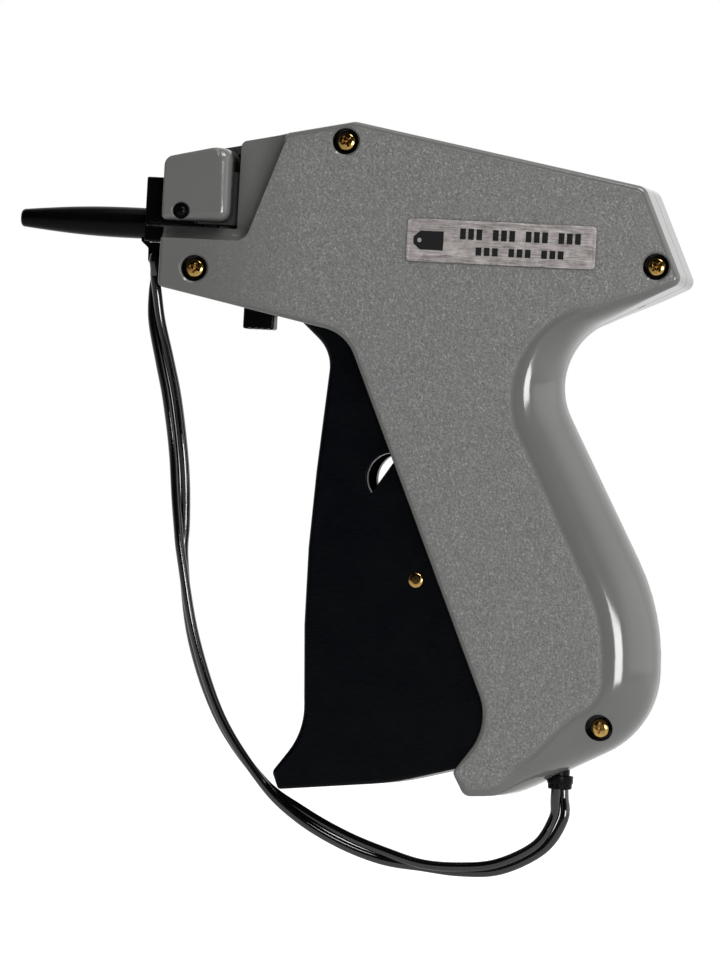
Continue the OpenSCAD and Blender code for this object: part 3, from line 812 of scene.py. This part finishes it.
def make_left_shell():
    shell = cut(shell_half("left_shell", -1), hollow(-1))
    cut(shell, pocket(), slot_cutter(), *half_cuts(-1))
    return cut(shell, *[counterbore(screw) for screw in screws])


def make_right_shell():
    shell = cut(shell_half("right_shell", 1), hollow(1))
    cut(shell, *half_cuts(1))
    pilots = [bar("pilot", screw_centre(screw), 1.5, -1, HALF - WALL - 0.3) for screw in screws]
    at = middle("bracket_screw")
    end = box_mm("bracket_screw")[1].x
    pilots.append(turned("pilot", [(90, 1.5), (end, 1.5)], (0, at.y, at.z), "X", 40))
    notch = block("notch", (112.6, -0.9, -18), (114.4, 0.9, -12.3))
    return cut(shell, notch, *pilots)


# ---------------------------------------------------------------- nose pieces

COVER_CORNERS = [
    Corner(2.0, 1.0, 1.2, 0.6, 1.5),
    Corner(17.8, 1.0, 2.6, 2.4),
    Corner(17.7, 18.4, 2.9, 2.8),
    Corner(13.2, 18.2, 9.0, 1.0),
    Corner(2.0, 15.5, 2.4, 0.5),
]


def make_feed_cover():
    """The block over the tag strip, round at its rear and lower edges, hollow behind its face."""
    cover = plate("feed_cover_block", COVER_CORNERS, 0, -HALF, steps=10)
    cut(cover, block("room", (-1, -6.4, -1), (20, 1, 13.1)))
    slot_start, slot_half = STRIP_SLOT
    cut(cover, block("strip_room", (slot_start, -slot_half, 10), (SLOT_REAR, 1, 30)))
    pin = middle("feed_cover_pin")
    face = -HALF
    profile = [(face - 1, 3.2), (face, 2.2), (face + 0.3, 1.9), (face + 2.2, 1.9)]
    profile += [(face + 2.21, 1.5), (0, 1.5)]
    return cut(cover, turned("pin_hole", profile, (pin.x, 0, pin.z), "Y", 64))


def make_cover_pin():
    """Black pin with a low dome in the middle of its head."""
    end = box_mm("feed_cover_pin")[1].y
    at = middle("feed_cover_pin")
    face = -HALF + 0.32
    dome, dome_rise = 1.05, 0.38
    profile = [(end, 1.45), (face + 1.88, 1.45), (face + 1.87, 1.86), (face + 0.13, 1.86), (face, 1.78)]
    profile += [(face, 1.2)]
    for k in range(7):
        a = math.radians(15 * k)
        profile.append((face - 0.02 - dome_rise * math.sin(a), max(dome * math.cos(a), 0.03)))
    return turned("cover_pin", profile, (at.x, 0, at.z), "Y", 48)


def make_needle_holder():
    """The black block in the nose, split level with the needle."""
    low, high = box_mm("needle_holder")
    front = low.x + 1.0
    top = high.z + 1.0
    holder = bevelled(block("needle_block", (front, low.y, low.z + 0.6), (high.x, high.y, top)), 0.4)
    cut(holder, turned("bore", [(low.x - 1, 1.5), (high.x + 1, 1.5)], (0, 0, 0), "X", 48))
    return cut(holder, block("split", (low.x - 1, low.y - 1, -0.5), (high.x + 1, 0, 0.5)))


def make_cap():
    """Tapered needle cap with a rounded tip and a tab with an eye for its cord."""
    base = box_mm("needle_holder")[0].x + 0.95
    front = box_mm("needle_cap")[0].x - 0.8
    length = base - front
    tip_round = 0.9
    axis_z = 0.35
    root, tip, bulge = 3.6, 2.1, 0.5
    profile = [(base, root - 0.25), (base - 0.25, root)]
    for k in range(1, 11):
        t = k / 10
        radius = root + (tip - root) * t + bulge * math.sin(math.pi * t)
        profile.append((base - 0.25 - (length - tip_round - 0.25) * t, radius))
    for k in range(1, 7):
        a = math.radians(90 * k / 6)
        profile.append((front + tip_round * (1 - math.sin(a)), tip - tip_round * (1 - math.cos(a))))
    cap = turned("cap", profile, (0, 0, axis_z), "X", 96)
    tab_front, tab_rear, tab_foot = CAP_EYE.x - 1.85, CAP_EYE.x + 2.5, CAP_EYE.y - 2.1
    tab_corners = [
        Corner(base - 2.0, -1.0, 0.3, 0.25),
        Corner(base - 1.6, -3.9, 0.6, 0.25),
        Corner(tab_front, -5.3, 1.0, 0.25),
        Corner(tab_front, tab_foot, 1.7, 0.45),
        Corner(tab_rear, tab_foot, 1.7, 0.45),
        Corner(tab_rear, -4.05, 0.8, 0.25),
        Corner(base, -4.0, 0.3, 0.25),
        Corner(base, -1.0, 0.3, 0.25),
    ]
    join(cap, plate("tab", tab_corners, -1.15, 1.15, both=True, steps=4))
    cut(cap, bar("eye", CAP_EYE, 1.15, -4, 4, 40))
    bore = [(box_mm("needle")[0].x - 1.5, 1.65), (base + 1, 1.65)]
    return cut(cap, turned("bore", bore, (0, 0, 0), "X", 48))


def make_release_button():
    """Black push button under the nose, with grip lines across its end."""
    low, high = box_mm("release_button")
    front, rear = low.x + 1, high.x - 1.8
    button = bevelled(block("push_button", (front, low.y, low.z), (rear, high.y, high.z)), 0.5)
    for k in range(4):
        x = front + 1.4 + 1.5 * k
        cut(button, block("line", (x, low.y - 1, low.z - 1), (x + 0.5, high.y + 1, low.z + 0.3)))
    return join(button, bevelled(block("collar", (low.x, low.y, -15.4), (high.x, high.y, -14)), 0.2))


# ---------------------------------------------------------------- screws, pins and label


def make_screws():
    """Four pan head screws with cross recesses, each turned differently."""
    made = []
    radius, crown = 2.3, 2.18
    for i, screw in enumerate(screws):
        low, high = screw
        centre = screw_centre(screw)
        seat = low.y + SCREW_SEAT
        profile = [(high.y, 1.2), (high.y - 1, 1.5), (seat, 1.5), (seat - 0.01, radius)]
        profile += [(seat - 0.7, radius), (seat - 1.05, crown)]
        for k in range(1, 8):
            a = math.radians(90 * k / 7)
            profile.append((seat - 1.05 - 0.62 * math.sin(a), max(crown * math.cos(a) ** 0.8, 0.03)))
        head = turned(f"screw_{i + 1}", profile, (centre.x, 0, centre.y), "Y", 64)
        turn = math.radians((20, 62, 8, 47)[i])
        for quarter in (0, 90):
            wing = block("wing", (-1.3, seat - 3, -0.3), (1.3, seat - 0.75, 0.3))
            wing.data.transform(Matrix.Rotation(turn + math.radians(quarter), 4, "Y"))
            wing.data.transform(Matrix.Translation((centre.x, 0, centre.y)))
            cut(head, wing)
        core = [(seat - 3, 0.95), (seat - 1.6, 0.8), (seat - 0.5, 0.15)]
        made.append(cut(head, turned("core", core, (centre.x, 0, centre.y), "Y", 32)))
    return made


def make_trigger_pin():
    """Brass pin across the trigger, with slightly domed ends."""
    low, high = box_mm("trigger_pin")
    at = middle("trigger_pin")
    radius = (high.x - low.x) / 2
    end = [(0, 0.5), (0.06, 0.8), (0.16, 0.94), (0.32, 1)]
    profile = [(low.y + d, radius * share) for d, share in end]
    profile += [(high.y - d, radius * share) for d, share in reversed(end)]
    return turned("brass_trigger_pin", profile, (at.x, 0, at.z), "Y", 64)


def make_label():
    """Foil plate with a raised border."""
    low, high = box_mm("label_plate")
    border = 0.6
    places = ((low.x, low.z), (high.x, low.z), (high.x, high.z), (low.x, high.z))
    corners = [Corner(x, z, 1.0, 0.12) for x, z in places]
    label = plate("label_foil", corners, high.y, low.y, steps=4)
    field = [c._replace(radius=0.6, edge=0.08) for c in shrunk(corners, [border] * 4)]
    return cut(label, plate("field", field, low.y - 1, low.y + LABEL_RAISED, steps=3))


def make_print():
    """A generic pictogram in ink: a swing tag, its fastener and two rows of plain bars."""
    low, high = box_mm("label_plate")
    face = low.y + LABEL_RAISED
    thickness = 0.04
    height = high.z - low.z
    tag_x, tag_z = low.x + 3.2, low.z + height / 2
    tag = [(0, -2.2), (5.4, -2.2), (5.4, 2.2), (0, 2.2), (-1.6, 0.8), (-1.6, -0.8)]
    marks = [[(tag_x + x, tag_z + z) for x, z in tag]]
    start, stop, most = low.x + 12.4, high.x - 3, 15
    pitch = (stop - start) / most
    rows = [(low.z + height * 0.56, 2.5, most), (low.z + height * 0.2, 1.9, 11)]
    for foot, tall, count in rows:
        first = start + pitch * (most - count) / 2
        for k in range(count):
            if k % 4 == 3:
                continue
            x = first + pitch * k
            end = x + pitch * 0.7
            marks.append([(x, foot), (end, foot), (end, foot + tall), (x, foot + tall)])
    made = [prism("mark", points, face + 0.02, face - thickness) for points in marks]
    cut(made[0], bar("tag_hole", (tag_x - 0.2, tag_z), 0.5, face + 1, face - 1, 24))
    return made


# ---------------------------------------------------------------- trigger

TRIGGER_CORNERS = [
    Corner(34.2, -12.5, 1.5, 0.6),
    Corner(34.9, -20.2, 3, 0.9),
    Corner(43.1, -27.6, 9, 1.2),
    Corner(39.0, -82, 350, 1.2),
    Corner(41.6, -115.2, 17, 1.2),
    Corner(34.5, -125.1, 1.6, 1.0),
    Corner(36.2, -129.1, 0.9, 0.6),
    Corner(62.8, -126.1, 60, 0.8),
    Corner(78.4, -121.8, 0.9, 0.5),
    Corner(87.3, -112, 4, 0.5),
    Corner(86.8, -100, 10, 0.5),
    Corner(58.4, -33, 10, 0.5),
    Corner(57, -8.2, 6, 0.5),
    Corner(41, -8.2, 6, 0.5),
]


def make_trigger():
    """A channel open towards the grip, with a window that has a straight side."""
    half = box_mm("trigger")[1].y
    trigger = plate("trigger_body", TRIGGER_CORNERS, -half, half, both=True, steps=5)
    inner = half - 2.2
    outline = [point + Vector((2.5, 2.2)) for point, _, _ in rounded(TRIGGER_CORNERS, 4)]
    cut(trigger, prism("channel", outline, -inner, inner))
    window, radius = Vector((58.9, -56)), 5.8
    chord = Matrix.Rotation(math.radians(57), 2)
    on_chord = window + Vector((-2, 0.2))
    corners = [on_chord + chord @ Vector(p) for p in ((-10, 0), (10, 0), (10, 12), (-10, 12))]
    for y0, y1, grow in ((-half - 1, 0, 0), (0, half + 1, 0.5)):
        hole = bar("hole", window, radius + grow, y0, y1, 72)
        rim = [(-half - 1, radius + 1.3), (-half, radius + 0.3), (-half + 0.3, radius)]
        if y0 < 0:
            join(hole, turned("rim", rim, (window.x, 0, window.y), "Y", 72))
        combine(hole, "INTERSECT", prism("side", corners, y0 - 1, y1 + 1))
        cut(trigger, hole)
    pin_low, pin_high = box_mm("trigger_pin")
    cut(trigger, bar("pivot", PIVOT, 2.05, -30, 30, 48))
    cut(trigger, bar("pin", side_centre("trigger_pin"), (pin_high.x - pin_low.x) / 2, -30, 30, 48))
    lug = block("lug", (PIVOT.x - 1, 7.5, PIVOT.y + 3), (PIVOT.x + 1, 8.8, PIVOT.y + 11.6))
    return join(trigger, lug)


# ---------------------------------------------------------------- cord and springs

# Side-view path of the cap's cord, and how far its two strands are twisted there, in degrees:
# at 0 they lie side by side as seen from the left, at 90 one is behind the other
CORD_PATH = [
    (-1.1, -11.5, 84),
    (-0.9, -16, 55),
    (-0.1, -22.5, 28),
    (2.3, -31.6, 8),
    (4.6, -40.7, 0),
    (6.9, -54, 0),
    (8.3, -68.2, -52),
    (9.1, -77.3, -90),
    (12.8, -95.8, -118),
    (20.2, -113.9, -112),
    (31, -127.9, -90),
    (40, -134.7, -40),
    (49.7, -139.7, -8),
    (59.3, -143, 20),
    (68.8, -144.8, 70),
    (78.2, -145.3, 60),
    (87.5, -144.1, 45),
    (96.6, -139.1, 40),
    (100.7, -132.3, 12),
    (100.7, -127.6, 40),
    (100.6, -124.4, 50),
]


def through(points, steps):
    """A smooth curve through the points."""
    path = []
    for i in range(len(points) - 1):
        before = points[max(i - 1, 0)]
        start, end = points[i], points[i + 1]
        after = points[min(i + 2, len(points) - 1)]
        for k in range(steps + (i == len(points) - 2)):
            t = k / steps
            bend = 2 * before - 5 * start + 4 * end - after
            twist = 3 * start - before - 3 * end + after
            path.append(0.5 * (2 * start + (end - before) * t + bend * t * t + twist * t * t * t))
    return path


def make_cord():
    """One cord, doubled: down from the ferrule, through the cap's eye and back, its strands twisted."""
    thick = 2.25
    spacing = thick + 0.08
    curve = through([Vector(p) for p in CORD_PATH], 8)
    strands = ([], [])
    for i, point in enumerate(curve):
        ahead = curve[min(i + 1, len(curve) - 1)] - curve[max(i - 1, 0)]
        forward = Vector((ahead.x, 0, ahead.y)).normalized()
        across = Vector((-forward.z, 0, forward.x))
        turn = math.radians(point.z)
        offset = (across * -math.cos(turn) + Vector((0, math.sin(turn), 0))) * spacing / 2
        at = Vector((point.x, 0, point.y))
        strands[0].append(at + offset)
        strands[1].append(at - offset)
    eye = Vector((CAP_EYE.x, 0, CAP_EYE.y))
    first = strands[0][0]
    side = 1 if first.y > 0 else -1
    up = [(0.2, 2.0, -2.6), (0, 2.4, -1.0), (0, 1.8, 0.05)]
    loop = [eye + Vector((x, side * y, z)) for x, y, z in up]
    loop.append(eye + Vector((0, 0, 0.1)))
    loop += [eye + Vector((x, -side * y, z)) for x, y, z in reversed(up)]
    turn_round = through([strands[0][1], first] + loop + [strands[1][0], strands[1][1]], 6)[6:-6]
    path = list(reversed(strands[0]))[:-1] + turn_round + strands[1][1:]
    return tube("doubled_cord", path, thick / 2, 16)


def make_ferrule():
    """Black bushing where the cord enters the grip, with a ribbed collar."""
    low, high = box_mm("cord_ferrule")
    at = middle("cord_ferrule")
    collar = high.z - 3.6
    rise = [(0, 2.35), (0.2, 2.75), (1.3, 2.8), (1.4, 2.95), (1.6, 3.0)]
    profile = [(low.z + z, radius) for z, radius in rise]
    profile += [(collar - 0.2, 3.0), (collar, 2.85), (collar + 0.05, 2.15), (high.z, 2.15)]
    ferrule = turned("ribbed_ferrule", profile, (at.x, 0, 0), "Z", 72)
    grooves, ring = 14, 2.85
    groove = [(low.z - 1, 0.22), (low.z + 1.45, 0.22)]
    for k in range(grooves):
        a = 2 * math.pi * k / grooves
        place_of_groove = (at.x + ring * math.cos(a), ring * math.sin(a), 0)
        cut(ferrule, turned("groove", groove, place_of_groove, "Z", 8))
    return ferrule


def make_return_spring():
    low, high = box_mm("return_spring")
    z = middle("return_spring").z
    return coil("return_coil", (low.x, 0, z), (high.x, 0, z), 2.5, 0.4, 22)


def make_pawl_spring():
    low, high = box_mm("pawl_spring")
    at = middle("pawl_spring")
    return coil("pawl_coil", (at.x, at.y, low.z), (at.x, at.y, high.z), 1.2, 0.22, 4, "Z")


# ---------------------------------------------------------------- assembly

materials = make_materials()


def finish_cad_nodes():
    """Gives each CAD node that stays in view the material of its slot."""
    for part in frame["record"]["subparts"]:
        node = frame["nodes"][part["node"]]
        node.data.materials.clear()
        node.data.materials.append(materials[part["material_slot"]])


def put(piece, body, slot, *nodes, material=None):
    """Places a piece on its body with the material of its slot, or with another one."""
    return place(piece, body, materials[material or slot], slot, *nodes)


def build():
    finish_cad_nodes()
    put(make_left_shell(), "housing", "shell", "left_housing")
    put(make_right_shell(), "housing", "shell", "right_housing")
    put(make_feed_cover(), "housing", "shell", "feed_cover")
    put(make_cover_pin(), "housing", "black_gloss", "feed_cover_pin")
    put(make_needle_holder(), "housing", "black_gloss", "needle_holder")
    put(make_cap(), "cap", "black_gloss", "needle_cap")
    put(make_release_button(), "button", "black_gloss", "release_button")
    for screw in make_screws():
        put(screw, "housing", "brass", "housing_screws")
    put(make_trigger_pin(), "trigger", "brass", "trigger_pin")
    put(make_label(), "housing", "foil", "label_plate")
    for k, mark in enumerate(make_print()):
        mark.name = f"label_mark_{k + 1}"
        put(mark, "housing", "foil", material="ink")
    put(make_trigger(), "trigger", "trigger", "trigger")
    put(make_ferrule(), "housing", "black_gloss", "cord_ferrule")
    cord = put(make_cord(), None, "cord", "cap_cord")
    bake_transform(cord)
    return_coil = put(make_return_spring(), None, "steel", "return_spring")
    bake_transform(return_coil)
    pawl_coil = put(make_pawl_spring(), "housing", "steel", "pawl_spring")
    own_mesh(pawl_coil)


# ---------------------------------------------------------------- stage, light and camera

TARGET = Vector((0.0499, 0, -0.0567))


def direction(azimuth, elevation):
    """From the object towards a place; azimuth 0 is -Y and 90 is +X."""
    a = math.radians(azimuth)
    e = math.radians(elevation)
    return Vector((math.sin(a) * math.cos(e), -math.cos(a) * math.cos(e), math.sin(e)))


def aimed(name, data, azimuth, elevation, distance, roll=0):
    """A lamp or a camera that points at the object, rolled about its line of sight."""
    made = bpy.data.objects.new(name, data)
    away = direction(azimuth, elevation)
    made.location = TARGET + away * distance
    level = away.to_track_quat("Z", "Y").to_matrix()
    tilt = Matrix.Rotation(math.radians(roll), 3, "Z")
    made.rotation_mode = "QUATERNION"
    made.rotation_quaternion = (level @ tilt).to_quaternion()
    bpy.context.scene.collection.objects.link(made)
    return made


def softbox(name, azimuth, elevation, distance, size, power):
    """An area light, unseen by the camera; size is its width and height."""
    lamp = bpy.data.lights.new(name, "AREA")
    lamp.shape = "RECTANGLE"
    lamp.size, lamp.size_y = size
    lamp.energy = power
    aimed(name, lamp, azimuth, elevation, distance).visible_camera = False


def make_world():
    """White to the camera; to the object, dark in front and on the left, bright behind and on the right."""
    world = bpy.data.worlds.new("studio")
    bpy.context.scene.world = world
    world.use_nodes = True
    tree = world.node_tree
    background = tree.nodes["Background"]
    background.inputs["Color"].default_value = (1, 1, 1, 1)
    geometry = tree.nodes.new("ShaderNodeNewGeometry")
    axes = tree.nodes.new("ShaderNodeSeparateXYZ")
    tree.links.new(geometry.outputs["Incoming"], axes.inputs[0])
    levels = []
    behind, right, left = ("Y", 0.0, -0.7, 1.0), ("X", -0.5, -0.95, 1.5), ("X", 0.6, 0.95, 0.15)
    for axis, start, end, strength in (behind, right, left):
        fade = tree.nodes.new("ShaderNodeMapRange")
        fade.interpolation_type = "SMOOTHSTEP"
        fade.inputs["From Min"].default_value = start
        fade.inputs["From Max"].default_value = end
        fade.inputs["To Min"].default_value = 0.01
        fade.inputs["To Max"].default_value = strength
        tree.links.new(axes.outputs[axis], fade.inputs["Value"])
        levels.append(fade.outputs["Result"])
    brightest = levels[0]
    for level in levels[1:]:
        larger = tree.nodes.new("ShaderNodeMath")
        larger.operation = "MAXIMUM"
        tree.links.new(brightest, larger.inputs[0])
        tree.links.new(level, larger.inputs[1])
        brightest = larger.outputs[0]
    paths = tree.nodes.new("ShaderNodeLightPath")
    seen = tree.nodes.new("ShaderNodeMix")
    tree.links.new(paths.outputs["Is Camera Ray"], seen.inputs[0])
    tree.links.new(brightest, seen.inputs[2])
    seen.inputs[3].default_value = 1.0
    tree.links.new(seen.outputs[0], background.inputs["Strength"])


def make_floor():
    """A plain pale floor just under the cord."""
    bm = bmesh.new()
    bmesh.ops.create_grid(bm, x_segments=8, y_segments=8, size=3)
    mesh = bpy.data.meshes.new("floor")
    bm.to_mesh(mesh)
    bm.free()
    floor = bpy.data.objects.new("floor", mesh)
    floor.location = (TARGET.x, 0, cad_box[0][2] - 0.003)
    bpy.context.scene.collection.objects.link(floor)
    paper = Finish("floor_paper", (0.4, 0.4, 0.4), 0.9, specular=0.0)
    paper.set("Emission Color", (1, 1, 1, 1))
    in_view = paper.node("ShaderNodeLightPath").outputs["Is Camera Ray"]
    across = paper.node("ShaderNodeSeparateXYZ")
    paper.link(paper.place, across.inputs[0])
    glow = paper.remap(across.outputs["Y"], -0.3, 0.3, 0.1, 0.8)
    paper.set("Emission Strength", paper.maths("MAXIMUM", in_view, glow))
    floor.data.materials.append(paper.material)


def make_camera():
    """On the label side, a little towards the rear, on a long lens and slightly rolled."""
    distance = 2.0
    frame_height = 0.222
    frame_depth = 0.004
    azimuth, elevation, roll = 10.3, -0.7, 3.15
    data = bpy.data.cameras.new("camera")
    data.sensor_width = 36
    data.lens = data.sensor_width * (distance - frame_depth) / frame_height
    data.clip_start = 0.01
    bpy.context.scene.camera = aimed("camera", data, azimuth, elevation, distance, roll)


def make_studio():
    make_world()
    make_floor()
    softbox("key", 38, 56, 1.0, (0.5, 0.5), 8.0)
    softbox("strip", 26, -2, 0.9, (0.3, 0.28), 4.8)
    softbox("top", 10, 82, 0.9, (0.5, 0.4), 1.0)
    bpy.context.scene.view_settings.view_transform = "Standard"


build()
make_studio()
make_camera()
